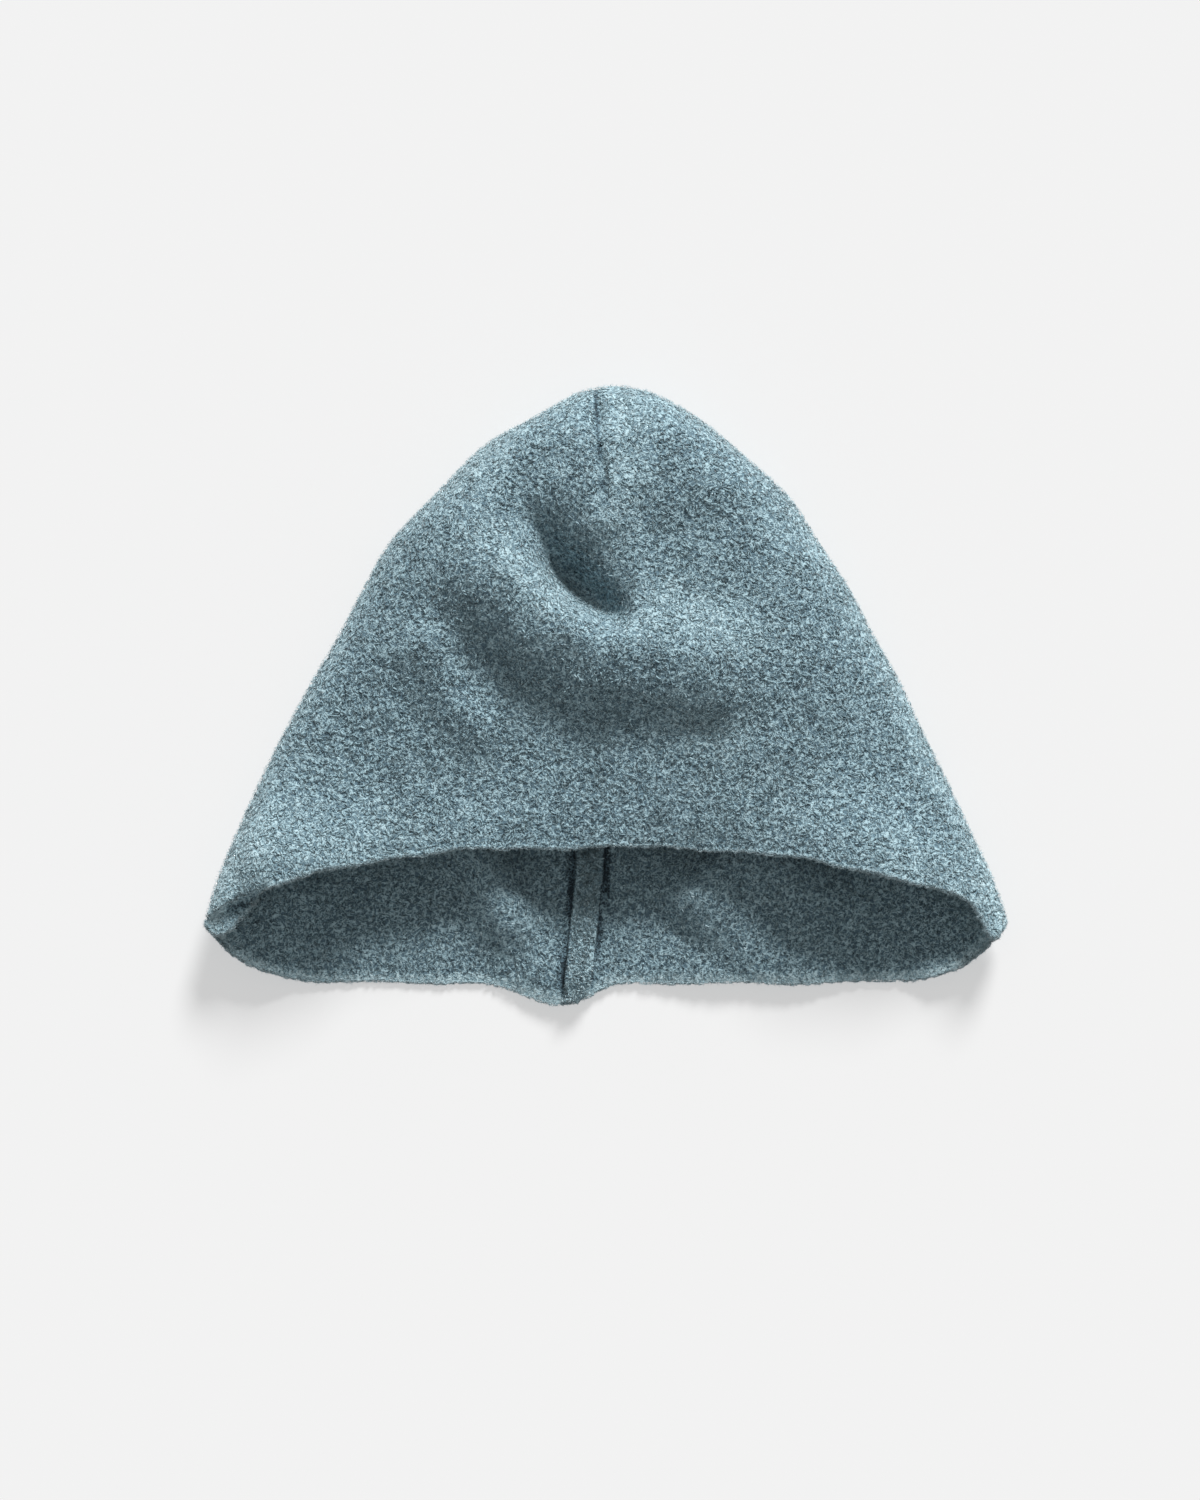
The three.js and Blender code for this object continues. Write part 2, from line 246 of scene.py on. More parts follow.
def outerPoint(angle, along):
    # a point of the outer surface: angle goes round from the right fold over the front
    s = capShape
    middle, half = clothWidth(along)
    across = np.cos(angle)
    x = middle + half * across
    inset = half * (1 - np.abs(across))
    reach = np.minimum(s["rollReach"], np.maximum(half, tiny))
    roll = np.sqrt(1 - (1 - np.minimum(inset / reach, 1)) ** 2)
    settle = along * along
    atRim, atCut = settle ** s["rimOnset"], settle ** s["waveOnset"]

    # where the cut runs, seen from above
    side = stationValue("y", along) - s["noseLength"] * atRim * np.exp(-inset / s["noseWidth"])
    nubWidth = np.where(x < s["seamNubX"], s["seamNubLeft"], s["seamNubRight"])
    nub = bell(x - s["seamNubX"], nubWidth)
    backY = side - s["rimDrop"] * settle * (1 - np.exp(-inset / s["rimCorner"]))
    backY = backY - s["seamNubLength"] * nub * settle ** s["seamNubOnset"]
    backY = backY + cutWave(x, s["backWaves"]) * atCut * roll
    archPower = np.where(across < 0, s["archLeft"], s["archRight"])
    frontY = side + s["rimArch"] * settle * (1 - np.abs(across) ** archPower)
    tuck = bell(x - s["tuckX"], s["tuckWidth"]) * (1 - np.exp(-inset / s["tuckCorner"]))
    frontY = frontY - s["tuckLength"] * tuck * atRim
    frontY = frontY + cutWave(x, s["frontWaves"]) * atCut * roll
    shutReach = np.where(across < 0, s["closedLeft"], s["closedRight"])
    shut = np.exp(-((inset / shutReach) ** s["closedPower"]))
    frontY = frontY + (backY - frontY) * shut * atRim

    # how high the front and the back lie
    fold, crown = stationValue("fold", along), stationValue("crown", along)
    shoulder = np.minimum(fold + s["rollRise"], crown)
    dome = (crown - shoulder) * (1 - np.abs(across) ** s["domePower"])
    frontZ = fold + (shoulder - fold) * roll + dome
    frontZ = frontZ + foldRelief(s["frontFolds"], x, frontY) * roll + tipLift(x, frontY)
    under = np.maximum(stationValue("under", along), 0)
    nubLift = s["seamNubLift"] * nub * bell(rimDistance(along), s["seamNubReach"])
    swell = foldRelief(s["backFolds"], x, backY) * roll + nubLift - s["restTolerance"]
    backZ = fold - (fold - under) * roll + np.maximum(swell, 0) + tipLift(x, backY)

    front = np.sin(angle) >= 0
    y, z = np.where(front, frontY, backY), np.where(front, frontZ, backZ)
    return np.stack([x, y, z], axis=-1)


def outerFrame(angle, along):
    # the point, the outward normal and the way to the rim, square to the rim's own line
    step, firstRow = 0.002, 0.003  # shares of the way from the crown to the rim
    low, high = np.maximum(along - step, firstRow), np.minimum(along + step, 1)
    around = outerPoint(angle + step, along) - outerPoint(angle - step, along)
    down = outerPoint(angle, high) - outerPoint(angle, low)
    normal = np.cross(around, down)
    normal /= np.linalg.norm(normal, axis=-1, keepdims=True)
    square = np.cross(normal, around)
    square *= np.sign(np.sum(square * down, axis=-1, keepdims=True))
    square /= np.linalg.norm(square, axis=-1, keepdims=True)
    return outerPoint(angle, along), normal, square


def clothThickness(angle, along):
    taper = capShape["edgeTaper"] * bell(rimDistance(along), capShape["taperReach"])
    return capShape["clothThickness"] - np.where(np.sin(angle) < 0, taper, 0)


def noiseAt(point, size):
    return np.array([noise.noise(Vector(p) / size) for p in point])


def ballMesh(name, columns, rows):
    # a ball to be shaped, the places of its points and how far down each one is, 0 to 1
    shape = bmesh.new()
    bmesh.ops.create_uvsphere(shape, u_segments=columns, v_segments=rows, radius=1)
    mesh = bpy.data.meshes.new(name)
    shape.to_mesh(mesh)
    shape.free()
    ball = np.array([v.co[:] for v in mesh.vertices], dtype=float)
    return mesh, ball, np.arccos(np.clip(ball[:, 2], -1, 1)) / math.pi


def setPoints(mesh, points):
    mesh.vertices.foreach_set("co", (points * mm).astype(np.float32).ravel())


def addPiece(mesh, name, tone):
    # a smooth piece, with a tone at each point for the material
    mesh.polygons.foreach_set("use_smooth", np.full(len(mesh.polygons), True))
    mesh.update()
    attribute = mesh.attributes.new("tone", "FLOAT", "POINT")
    attribute.data.foreach_set("value", tone.astype(np.float32).ravel())
    return addObject(name, mesh)


# the turned seam allowance inside the back: a flat band in the felt, and its own loops
seamAllowance = {
    "width": 10.8,
    "thickness": 2.4,
    "gap": 0.2,
    "sunk": 0.7,  # how deep it lies in the loops of the back
    "hemEnd": 0.998,
    "overhang": 2,  # its end sticks out past the hem
    "overhangFrom": 0.969,
    "overhangReach": 0.03,
    "crownEnd": 0.3,
    "hemX": -12.2,
    "mouthX": -6.8,
    "crownX": 3,
    "mouthAt": 0.86,
    "columns": 20,
    "rows": 110,
    "endShare": 0.12,  # how short the ends close
    "cornerPower": 0.6,
    "tone": 0.55,
    "sidesFrom": 0.43,  # painted shade on its sides from this share of the width
    "sidesReach": 0.05,
    "grooveWidth": 1.4,  # painted shade in the grooves beside it
    "grooveShade": 0.7,
    "grooveClear": 1.6,
    "seed": 19,
    "loops": 1900,
    "loopsFrom": 0.8,
    "loopsWidth": 0.9,
    "loopDepth": 0.35,
    "loopDroop": 1.1,  # its loops lie lower towards its sides
    "loopSpread": 0.18,
    "loopTilt": 9.6,
    "loopSizes": (0.6, 0.95),
    "loopTone": 0.69,
    # painted light and shade: its loops are paler the higher they stand
    "loopLiftTone": 0.5,
    "loopToneSpread": 0.1,
    "endTone": 0.15,  # its cut end is paler
    "endFrom": 0.985,
}


def allowanceX(along):
    a = seamAllowance
    mouth = a["mouthX"] + (a["hemX"] - a["mouthX"]) * (along - a["mouthAt"]) / (1 - a["mouthAt"])
    deep = a["crownX"] + (a["mouthX"] - a["crownX"]) * along / a["mouthAt"]
    return np.where(along > a["mouthAt"], mouth, deep)


def besideAllowance(angle, along):
    # how far past the sides of the seam allowance
    middle, half = clothWidth(along)
    x = middle + half * np.cos(angle)
    return np.abs(x - allowanceX(along)) - 0.5 * seamAllowance["width"]


# painted light in bands and along the side folds, and painted shade in narrow creases of the front
paintedLightAndShade = {
    "paintedHighlightTone": 0.25,
    "foldPaintedSheen": 0.26,  # painted sheen along the side folds
    "foldReach": 5,
    # painted highlights: start and end of a line, its reach and how much
    "paintedHighlightBands": [
        ((6, 108), (3, 58), 9, 0.4),
        ((-18, 106), (14, 108), 7, 0.1),
        ((24, 34), (46, 24), 12, 0.5),
        ((-46, 60), (-22, 34), 9, 0.4),
        ((-22, 36), (16, 24), 6, 0.3),
        ((-56, 78), (-38, 92), 7, 0.4),
        ((-146, -76), (-134, -50), 12, 0.6),
        ((147, -76), (104, -62), 9, 0.4),
        ((-126, -60), (-74, -52), 12, 0.3),
        ((36, -18), (70, -44), 16, 0.2),
        ((32, -11), (50, -13), 7, 0.25),
    ],
    # painted shade in creases: start and end of a line, and its reach
    "creases": [
        ((-4.6, 117), (-3, 92), 0.8),
        ((-3, 92), (-1, 72), 0.7),
        ((-141, -80.5), (-132, -77.5), 1.6),
        ((-132, -77.5), (-123, -74.5), 1.3),
    ],
    "creasePower": 4,  # a crease has steep sides
}


def lineGap(point, start, end):
    gapX, gapY = nearestOnLine(point[..., 0], point[..., 1], start, end)[1:]
    return np.hypot(gapX, gapY)


def paintedPaleness(point):
    bands = paintedLightAndShade["paintedHighlightBands"]
    return sum(
        amount * bell(lineGap(point, start, end), reach) for start, end, reach, amount in bands
    )


def creaseShade(point):
    power = paintedLightAndShade["creasePower"]
    shades = [
        np.exp(-((lineGap(point, start, end) / reach) ** power))
        for start, end, reach in paintedLightAndShade["creases"]
    ]
    return np.max(shades, axis=0)


def paintedLightTone(angle, along, point):
    # painted highlight bands, and painted sheen along the side folds
    atFold = np.exp(-sideInset(angle, along) / paintedLightAndShade["foldReach"])
    return paintedLightAndShade["paintedHighlightTone"] * paintedPaleness(point) + paintedLightAndShade["foldPaintedSheen"] * atFold


# the felted ground of the cloth, under the loops of the yarn
clothGround = {
    "columns": 288,
    "outerRows": 122,
    "edgeRows": 7,
    "innerRows": 50,
    "firstRow": 0.002,
    "depth": 0.85,  # below the tops of the loops outside
    "insideDepth": 0.8,
    "edgeDepth": 0.6,  # the felted cut edge stands nearly as high as the loops
    "edgeWidth": 1.2,
    "unevenness": 0.25,
    "unevenWaves": [(7, 1), (2.8, 0.5)],  # size and share
    "tone": 0.45,
    "edgeTone": 0.04,
    # painted light on the back's cut edge, which lies in shade
    "backEdgePaintedLight": 0.4,
    # painted shade in the creases of the front
    "creaseShade": 0.5,
}


def makeGround():
    # a ball whose rows run down the outside, round the cut edge and up the inside
    g = clothGround
    outer, edge, inner = g["outerRows"], g["edgeRows"], g["innerRows"]
    rows = outer + edge + inner + 1
    mesh, ball, down = ballMesh("wool.ground", g["columns"], rows)
    row = np.rint(down * rows).astype(int)
    angle = -np.arctan2(ball[:, 1], ball[:, 0])
    inside = row > outer + edge
    along = np.where(inside, (rows - row) / (inner + 1), row / outer)
    along = np.clip(along, g["firstRow"], 1)
    around = np.clip((row - outer) / (edge + 1), 0, 1)

    # nearer to the cut the ground comes up in the loops
    rim = np.clip(1.5 - rimDistance(along) / g["edgeWidth"], 0, 1)
    rim = rim * rim * (3 - 2 * rim)
    top = g["depth"] + (g["edgeDepth"] - g["depth"]) * rim
    bottom = g["insideDepth"] + (g["edgeDepth"] - g["insideDepth"]) * rim
    thickness = clothThickness(angle, along) - top - bottom
    depth = top + np.where(inside, 1, eased(around)) * thickness
    point, normal, toRim = outerFrame(angle, along)
    reach = 0.5 * thickness * np.sin(math.pi * around)
    wobble = sum(share * noiseAt(point, size) for size, share in g["unevenWaves"])
    depth = depth + g["unevenness"] * wobble * (1 - np.sin(math.pi * around))
    point = point - depth[:, None] * normal + reach[:, None] * toRim
    setPoints(mesh, point)

    # the tone: painted shade in the grooves beside the seam allowance and in the creases, painted
    # light on the back's cut edge
    back, front = np.sin(angle) < 0, np.sin(angle) > 0
    groove = bell(besideAllowance(angle, along), seamAllowance["grooveWidth"]) * inside * back
    tone = g["tone"] + g["edgeTone"] * rim + g["backEdgePaintedLight"] * rim * back * (1 - groove)
    tone -= seamAllowance["grooveShade"] * groove + g["creaseShade"] * creaseShade(point) * front
    return addPiece(mesh, "wool.ground", tone + paintedLightTone(angle, along, point))


ground = makeGround()
print("felted ground", len(ground.data.polygons))

# the loops of the boucle yarn: short bent strands in every direction
yarnLoops = {
    "length": 2.2,
    "thickness": 0.82,
    "rows": 3,
    "bends": (0.5, 0.9, 1.4, 1.8, -0.9),  # how much of a half turn each kind of strand bends
    "sizes": (0.75, 1.25),
    "tilt": 12,  # degrees out of the cloth
    "depth": 0.6,
    "insideDepth": 0.4,
    "depthSpread": 0.15,
    "depthLimit": 0.4,
    "nubLift": 0.34,  # neighbouring loops stand up together in nubs
    "nubSize": 1.55,
    "rowLift": 0.42,  # the knit shows through in short slanting rows
    "rowTone": 0.1,
    "rowSize": (6.5, 2.2),
    "rowTurn": -25,
    "rowSlice": 0.3,
    "paleCalm": 0.6,  # the loops lie flatter under the painted highlights
    "tone": 0.555,
    # painted light and shade: loops that stand higher are paler, lower ones darker
    "liftTone": 0.35,
    "toneSpread": 0.04,
    "insidePaintedShade": -0.03,  # painted shade: darker inside, and as much again at the rim
    "insideRimReach": 8,
    "insideContrast": 0.3,  # painted light and shade: inside, the loops stand further apart in tone with their height
    "insideSpread": 0.06,
    "creaseClearing": 0.9,  # few loops in the creases
    "mouthFrom": 0.72,  # the part of the inside that shows
    "hiddenShare": 0.2,
    "cells": (240, 150),
    "lastRow": 0.996,
}

# one strand of yarn or fibre
strandShape = {
    "sections": 3,
    "fullness": 1.15,  # it stays thick towards its ends
    "flatness": 0.65,
    "droop": 0.16,  # its ends go down in the cloth
}


def strandTemplates(strand):
    # one strand along X for each bend, made from a ball: its points in mm and its faces
    s = strandShape
    length, thick = strand["length"], 0.5 * strand["thickness"]
    templates = []
    for bend in strand["bends"]:
        shape = bmesh.new()
        bmesh.ops.create_uvsphere(
            shape, u_segments=s["sections"], v_segments=strand["rows"], radius=1
        )
        bmesh.ops.triangulate(shape, faces=shape.faces)
        shape.verts.ensure_lookup_table()
        points = np.array([v.co[:] for v in shape.verts])
        faces = np.array([[v.index for v in f.verts] for f in shape.faces])
        shape.free()
        isEnd = np.abs(points[:, 2]) > 0.9
        place = points[:, 2] * np.where(isEnd, 1, s["fullness"])
        # a round section, bent in the plane of the cloth
        turn = math.pi * abs(bend) * place * 0.5
        radius = length / (math.pi * abs(bend))
        along = radius * np.sin(turn) + points[:, 0] * thick * np.sin(-turn)
        aside = radius * (1 - np.cos(turn)) - points[:, 0] * thick * np.cos(turn)
        if bend < 0:  # an S instead of a bow
            aside = np.where(place < 0, -aside, aside)
        rise = points[:, 1] * thick * s["flatness"] - s["droop"] * length * place**2
        templates.append((np.stack([along, aside, rise], axis=-1), faces))
    return templates


def scatterOnCloth(random, count, low, high, firstRow, weight=None):
    # even places on the cloth between two angles, or more of them where the weight is higher
    angles, rows = yarnLoops["cells"]
    angle = np.linspace(low, high, angles + 1)
    along = np.linspace(firstRow, yarnLoops["lastRow"], rows + 1)
    grid = outerPoint(*np.meshgrid(angle, along, indexing="ij"))
    first = grid[1:, 1:] - grid[:-1, :-1]
    second = grid[1:, :-1] - grid[:-1, 1:]
    area = 0.5 * np.linalg.norm(np.cross(first, second), axis=-1)
    if weight:
        middles = [0.5 * (edges[1:] + edges[:-1]) for edges in (angle, along)]
        area = area * weight(*np.meshgrid(*middles, indexing="ij"))
    total = np.cumsum(area.ravel())
    picks = (np.arange(count) + random.random(count)) / count * total[-1]
    cell = np.minimum(np.searchsorted(total, picks), area.size - 1)
    i, j = np.divmod(cell, area.shape[1])
    pickedAngle = angle[i] + random.random(count) * (angle[1] - angle[0])
    pickedAlong = along[j] + random.random(count) * (along[1] - along[0])
    return pickedAngle, pickedAlong


def turnStrands(random, strand, normal, forward, tilt):
    # each strand points any way along the cloth, and is then tilted out of it by its degrees
    templates = strandTemplates(strand)
    turn = (random.random(len(tilt)) * fullTurn)[:, None]
    tilt = np.radians(tilt)[:, None]
    ahead = forward * np.cos(turn) + np.cross(normal, forward) * np.sin(turn)
    tipped = ahead * np.cos(tilt) + normal * np.sin(tilt)
    upright = normal * np.cos(tilt) - ahead * np.sin(tilt)
    kinds = random.integers(0, len(templates), len(tilt))
    return templates, kinds, tipped, upright


def joinStrands(name, point, strands, sizes, tones):
    # one piece of many copies of the templates, each at its own point of the cloth
    templates, kinds, forward, upright = strands
    across = np.cross(upright, forward)
    allPoints, allFaces, allTones, start = [], [], [], 0
    for kind, (shape, faces) in enumerate(templates):
        chosen = np.nonzero(kinds == kind)[0]
        basis = np.stack([forward[chosen], across[chosen], upright[chosen]], axis=1)
        placed = np.einsum("vk,nkc->nvc", shape, basis) * sizes[chosen, None, None]
        placed += point[chosen, None, :]
        index = start + np.arange(len(chosen))[:, None, None] * len(shape) + faces[None]
        allPoints.append(placed.reshape(-1, 3))
        allFaces.append(index.reshape(-1, 3))
        allTones.append(np.repeat(np.clip(tones[chosen], 0, 1), len(shape)))
        start += len(chosen) * len(shape)
    points, faces = np.concatenate(allPoints), np.concatenate(allFaces)
    mesh = bpy.data.meshes.new(name)
    mesh.vertices.add(len(points))
    setPoints(mesh, points)
    mesh.loops.add(faces.size)
    mesh.loops.foreach_set("vertex_index", faces.astype(np.int32).ravel())
    mesh.polygons.add(len(faces))
    mesh.polygons.foreach_set("loop_start", np.arange(0, faces.size, faces.shape[1]))
    mesh.update(calc_edges=True)
    mesh.validate()
    return addPiece(mesh, name, np.concatenate(allTones))


def rowNoise(point):
    # noise drawn out in slanting rows
    turn = math.radians(yarnLoops["rowTurn"])
    length, width = yarnLoops["rowSize"]
    row = (point[:, 0] * math.cos(turn) + point[:, 1] * math.sin(turn)) / length
    side = (point[:, 1] * math.cos(turn) - point[:, 0] * math.sin(turn)) / width
    places = np.stack([row, side, np.full(len(point), yarnLoops["rowSlice"])], axis=-1)
    return noiseAt(places, 1)


def makeLoops(name, seed, count, low, high, firstRow, inside, weight, scale):
    y = yarnLoops
    random = np.random.default_rng(seed)
    angle, along = scatterOnCloth(
        random, count, low * fullTurn, high * fullTurn, firstRow, weight
    )
    point, normal, down = outerFrame(angle, along)
    spread = random.normal(0, y["depthSpread"], count).clip(-y["depthLimit"], y["depthLimit"])
    rows = rowNoise(point)
    lift = spread + y["nubLift"] * noiseAt(point, y["nubSize"]) + y["rowLift"] * rows
    lift *= 1 - y["paleCalm"] * np.clip(paintedPaleness(point), 0, 1)
    depth = y["depth"] - lift
    if inside:
        depth = clothThickness(angle, along) - y["insideDepth"] + lift
    point = point - depth[:, None] * normal
    if inside:
        normal = -normal
    strands = turnStrands(random, y, normal, down, random.normal(0, y["tilt"], count))
    sizes = random.uniform(*y["sizes"], count) * scale
    # painted light on higher loops, on the highlight bands and along the side folds, and painted
    # shade inside
    tones = y["tone"] + y["liftTone"] * lift + random.normal(0, y["toneSpread"], count)
    tones += paintedLightTone(angle, along, point) + y["rowTone"] * rows
    if inside:
        tones += y["insidePaintedShade"] * (1 + np.exp(-rimDistance(along) / y["insideRimReach"]))
        tones += y["insideContrast"] * lift + random.normal(0, y["insideSpread"], count)
    return joinStrands(name, point, strands, sizes, tones)


def frontWeight(angle, along):
    return 1 - yarnLoops["creaseClearing"] * creaseShade(outerPoint(angle, along))


def mouthWeight(angle, along):
    # most loops where they show in the mouth, and none in the grooves beside the seam allowance
    offBand = besideAllowance(angle, along) > seamAllowance["grooveClear"]
    bare = ~offBand & (along >= seamAllowance["crownEnd"])
    shown = np.where(along > yarnLoops["mouthFrom"], 1, yarnLoops["hiddenShare"])
    return np.where(bare, 0, shown)


# name, seed, count, from and to in turns round the cap, first row, inside, weight and scale
loopPatches = [
    ("wool.loops.front.right", 3, 16500, 0, 0.25, 0.004, False, frontWeight, 1),
    ("wool.loops.front.left", 5, 16500, 0.25, 0.5, 0.004, False, frontWeight, 1),
    ("wool.loops.back", 7, 5500, 0.5, 1, 0.004, False, None, 1.25),
    ("wool.loops.inside.back", 11, 15500, 0.5, 1, 0.5, True, mouthWeight, 0.85),
    ("wool.loops.inside.front", 13, 2400, 0, 0.5, 0.86, True, None, 1),
]
loops = [makeLoops(*patch) for patch in loopPatches]

# the raw cut edge, with short strands all over it
cutEdge = {
    "seed": 23,
    "loops": 6500,
    "sizes": (0.5, 0.9),
    "nubSize": 2,
    "nubLift": 0.8,  # the edge is uneven
    "roundness": 0.88,
    "upperFront": 0.55,  # shares of the rounding that face up
    "upperBack": 0.6,
    "tone": 0.68,
    "toneSpread": 0.08,
    # painted light on the back's cut edge, which lies in shade
    "backPaintedLight": 0.14,
    "outwardLightAndShade": 0.2,  # painted light where it faces away from the crown and the sun, painted shade where it faces them
    "tuckTone": 0.2,  # paler on the front at the tuck of the left tip
    "tuckX": -132,
    "tuckReach": 12,
}


def rimPlaces(random, count, upper=False):
    # places on the rounded cut edge: angle, point, the way out and a way along the rim
    angle = random.random(count) * fullTurn
    around = random.random(count) * math.pi
    if upper:
        upperBack = math.pi - cutEdge["upperBack"] * around
        around = np.where(np.sin(angle) > 0, cutEdge["upperFront"] * around, upperBack)
    atRim = np.ones(count)
    point, normal, down = outerFrame(angle, atRim)
    radius = 0.5 * clothThickness(angle, atRim)
    out = normal * np.cos(around)[:, None] + down * np.sin(around)[:, None]
    stand = cutEdge["roundness"] * radius + cutEdge["nubLift"] * noiseAt(point, cutEdge["nubSize"])
    point = point - radius[:, None] * normal + stand[:, None] * out
    return angle, point, out, np.cross(normal, down)


def makeRimLoops():
    c, count = cutEdge, cutEdge["loops"]
    random = np.random.default_rng(c["seed"])
    angle, point, out, rimWay = rimPlaces(random, count)
    tilt = random.normal(0, yarnLoops["tilt"], count)
    strands = turnStrands(random, yarnLoops, out, rimWay, tilt)
    sizes = random.uniform(*c["sizes"], count)
    tones = random.normal(c["tone"], c["toneSpread"], count)
    # painted light on the back and on the shaded outward side of the edge
    tones += c["backPaintedLight"] * (np.sin(angle) < 0) - c["outwardLightAndShade"] * out[:, 1]
    atTuck = bell(point[:, 0] - c["tuckX"], c["tuckReach"]) * (np.sin(angle) > 0)
    return joinStrands("wool.loops.rim", point, strands, sizes, tones + c["tuckTone"] * atTuck)


loops.append(makeRimLoops())
print("yarn loops", sum(len(piece.data.polygons) for piece in loops))

# single fibres that stand off the cloth
strayFibres = {
    "seed": 17,
    "length": 2.4,
    "thickness": 0.2,
    "rows": 2,
    "bends": (0.3, 0.6, 0.9),
    "sizes": (0.6, 1.4),
    "tones": (0.75, 1),
    "lean": 65,  # degrees out of the cloth, at most
    "count": 9000,
    "rimCount": 6000,
    "firstRow": 0.004,
    "atFolds": 16,  # how many more stand along the side folds
    "foldReach": 2,
}


def fibreWeight(angle, along):
    nearFold = np.exp(-sideInset(angle, along) / strayFibres["foldReach"])
    return 1 + strayFibres["atFolds"] * nearFold


def makeFibres():
    f = strayFibres
    random = np.random.default_rng(f["seed"])
    angle, along = scatterOnCloth(random, f["count"], 0, fullTurn, f["firstRow"], fibreWeight)
    onCloth = outerFrame(angle, along)
    onRim = rimPlaces(random, f["rimCount"], upper=True)[1:]
    point, normal, forward = (np.concatenate(both) for both in zip(onCloth, onRim))
    tilt = random.uniform(0, f["lean"], len(point))
    strands = turnStrands(random, f, normal, forward, tilt)
    sizes = random.uniform(*f["sizes"], len(point))
    tones = random.uniform(*f["tones"], len(point))
    return joinStrands("wool.fibres", point, strands, sizes, tones)


fibres = makeFibres()
print("stray fibres", len(fibres.data.polygons))


def onBackInside(aside, along, depth):
    # beside the middle of the seam allowance, and that deep under the outside of the back
    middle, half = clothWidth(along)
    across = (allowanceX(along) + aside - middle) / half
    point, normal, down = outerFrame(fullTurn - np.arccos(across), along)
    return point - depth[:, None] * normal, -normal, down


def makeAllowance():
    a = seamAllowance
    mesh, ball, share = ballMesh("wool.seam", a["columns"], a["rows"])
    ring = np.maximum(np.hypot(ball[:, 0], ball[:, 1]), tiny)
    closing = np.minimum(ring / a["endShare"], 1)
    cosine, sine = ball[:, 0] / ring * closing, ball[:, 1] / ring * closing
    # a flat section with rounded corners
    aside = np.sign(cosine) * np.abs(cosine) ** a["cornerPower"] * 0.5 * a["width"]
    height = np.sign(sine) * np.abs(sine) ** a["cornerPower"] * 0.5 * a["thickness"]
    along = a["crownEnd"] + (a["hemEnd"] - a["crownEnd"]) * share
    middle = capShape["clothThickness"] + a["gap"] + 0.5 * a["thickness"] - a["sunk"]
    point, normal, down = onBackInside(aside, along, middle + height)
    pastHem = np.clip((share - a["overhangFrom"]) / a["overhangReach"], 0, 1)
    setPoints(mesh, point + (a["overhang"] * pastHem)[:, None] * down)
    shape = bmesh.new()
    shape.from_mesh(mesh)
    bmesh.ops.recalc_face_normals(shape, faces=shape.faces)
    shape.to_mesh(mesh)
    shape.free()
    # painted shade on the sides of the band
    sides = (np.abs(aside) - a["sidesFrom"] * a["width"]) / (a["sidesReach"] * a["width"])
    return addPiece(mesh, "wool.seam", a["tone"] * (1 - np.clip(sides, 0, 1)))


def makeAllowanceLoops():
    a, count = seamAllowance, seamAllowance["loops"]
    random = np.random.default_rng(a["seed"])
    along = random.uniform(a["loopsFrom"], a["hemEnd"], count)
    aside = random.uniform(-0.5, 0.5, count) * a["width"] * a["loopsWidth"]
    top = capShape["clothThickness"] + a["gap"] + a["thickness"] - a["loopDepth"]
    lift = random.normal(0, a["loopSpread"], count)
    depth = top - a["loopDroop"] * np.abs(2 * aside / a["width"]) ** 4 + lift
    point, normal, down = onBackInside(aside, along, depth)
    tilt = random.normal(0, a["loopTilt"], count)
    strands = turnStrands(random, yarnLoops, normal, down, tilt)
    sizes = random.uniform(*a["loopSizes"], count)
    tones = a["loopTone"] + a["loopLiftTone"] * lift + random.normal(0, a["loopToneSpread"], count)
    tones += a["endTone"] * (along > a["endFrom"])
    return joinStrands("wool.seam.loops", point, strands, sizes, tones)


allowance = makeAllowance()
allowanceLoops = makeAllowanceLoops()
print("seam allowance", len(allowance.data.polygons) + len(allowanceLoops.data.polygons))


def hexToLinear(value):
    channels = [int(value[i : i + 2], 16) / 255 for i in (1, 3, 5)]
    linear = [c / 12.92 if c <= 0.04045 else ((c + 0.055) / 1.055) ** 2.4 for c in channels]
    return (*linear, 1)


def setInputs(node, inputs):
    # a value that is another node's output is linked
    for name, value in inputs.items():
        if isinstance(value, bpy.types.NodeSocket):
            node.id_data.links.new(value, node.inputs[name])
        else:
            node.inputs[name].default_value = value


def addNode(tree, kind, settings, inputs, output=0):
    # adds a node and gives one of its outputs
    node = tree.nodes.new(kind)
    for name, value in settings.items():
        setattr(node, name, value)
    setInputs(node, inputs)
    return node.outputs[output]


# boiled wool: merino knitted in boucle yarn and felted in hot water, so it is matte, with
# a soft bloom of fibre at glancing angles; its colour carries painted light on the loop tops and
# painted shade in the gaps
boiledWool = {
    "deep": "#2c383f",
    "gap": "#5c7480",
    "yarn": "#9cb8c1",
    "bloom": "#c6dde3",
    "gapAt": 0.3,  # where on the way from deep to bloom
    "yarnAt": 0.65,
    "roughness": 0.95,
    "specular": 0.1,
    "softness": 0.5,  # share of the light that passes through the yarn
    "lightReach": 1.2,  # mm that it goes
    "sheen": 0.3,
    "sheenRoughness": 0.5,
    "curlSize": 1.8,  # mm from one curl of yarn to the next
    "curlWidth": 0.085,
    "curlWander": 0.5,
    "curlShift": (0.31, 0.17, 0.23),  # between the two layers of curls
    "nubSize": 2.2,
    "fibreSize": 0.45,  # mm, drawn coarser than a real 0.03 mm fibre
    "curlHeight": 0.55,
    "nubHeight": 0.7,
    "fibreHeight": 0.5,
    "relief": 0.44,  # mm
    "lowHeight": 0.25,
    "curlRaise": 0.35,  # how much higher the lows are with all the curls
    "heightRange": 0.6,
    "lowTone": -0.192,
    "highTone": 0.308,
    "patchSize": 14,
    "patchRange": (0.3, 0.7),
    "patchContrast": 0.06,
}


